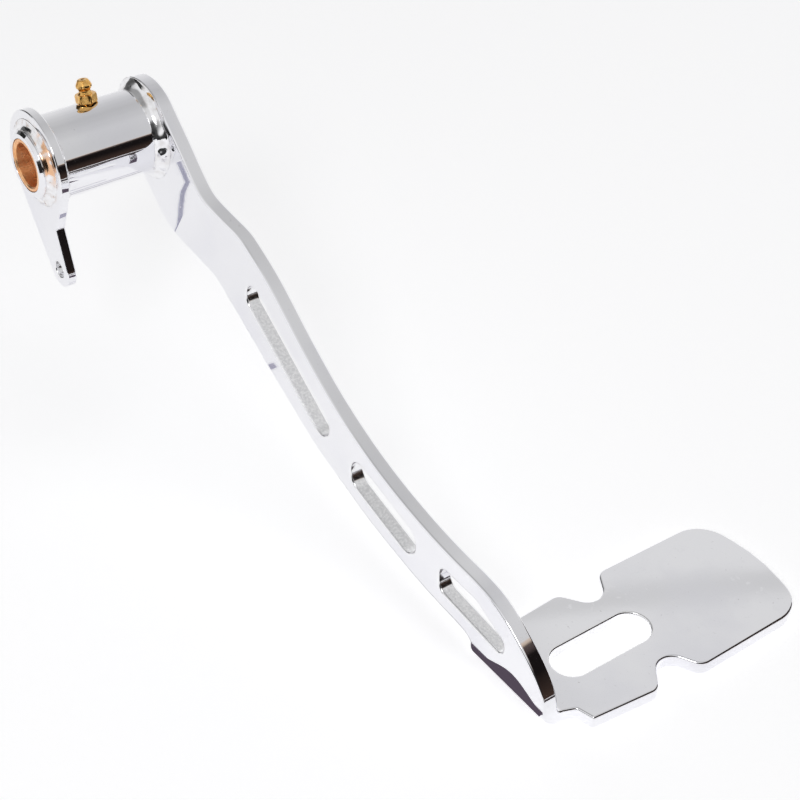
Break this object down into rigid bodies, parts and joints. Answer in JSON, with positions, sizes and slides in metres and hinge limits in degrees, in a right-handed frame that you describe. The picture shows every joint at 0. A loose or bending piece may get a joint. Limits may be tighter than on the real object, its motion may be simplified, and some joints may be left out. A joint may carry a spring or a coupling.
{
  "type": "motorcycle brake pedal lever",
  "caption": "Chrome-plated foot lever: bushed cross tube with grease nipple, crank ear for a brake rod, joggled slotted arm and a wide notched foot plate bent outwards.",
  "frame": {"origin": "on the pivot axis, at the crank end of the cross tube", "axes": "+Y along the pivot axis from the crank end to the arm end; +Z is the normal of the foot plate's upper face; +X from the pivot towards the foot plate"},
  "size_m": [0.3031, 0.186, 0.1499],
  "materials": {
    "chrome_plate": "polished chrome plating on steel",
    "bush_bronze": "machined sintered bronze",
    "nipple_brass": "yellow passivated turned steel, brass coloured",
    "spring_steel": "bright"
  },
  "bodies": {
    "lever": {"pivot_tube": "chrome_plate", "crank_plate": "chrome_plate", "lever_arm": "chrome_plate", "weld_crank_outer": "chrome_plate", "weld_crank_inner": "chrome_plate", "weld_arm_inner": "chrome_plate", "weld_arm_outer": "chrome_plate", "bush_crank_end": "bush_bronze", "bush_arm_end": "bush_bronze", "grease_nipple_body": "nipple_brass", "grease_check_spring": "spring_steel"},
    "check_ball": {"grease_check_ball": "spring_steel"}
  },
  "joints": [
    {"name": "grease_ball_slide", "type": "slide", "parent": "lever", "child": "check_ball", "axis": [0.2504, 0, -0.9681], "range_m": [0, 0.0008], "stiffness_N_per_m": 100, "springref_m": -0.002, "deforming": ["grease_check_spring"]}
  ]
}
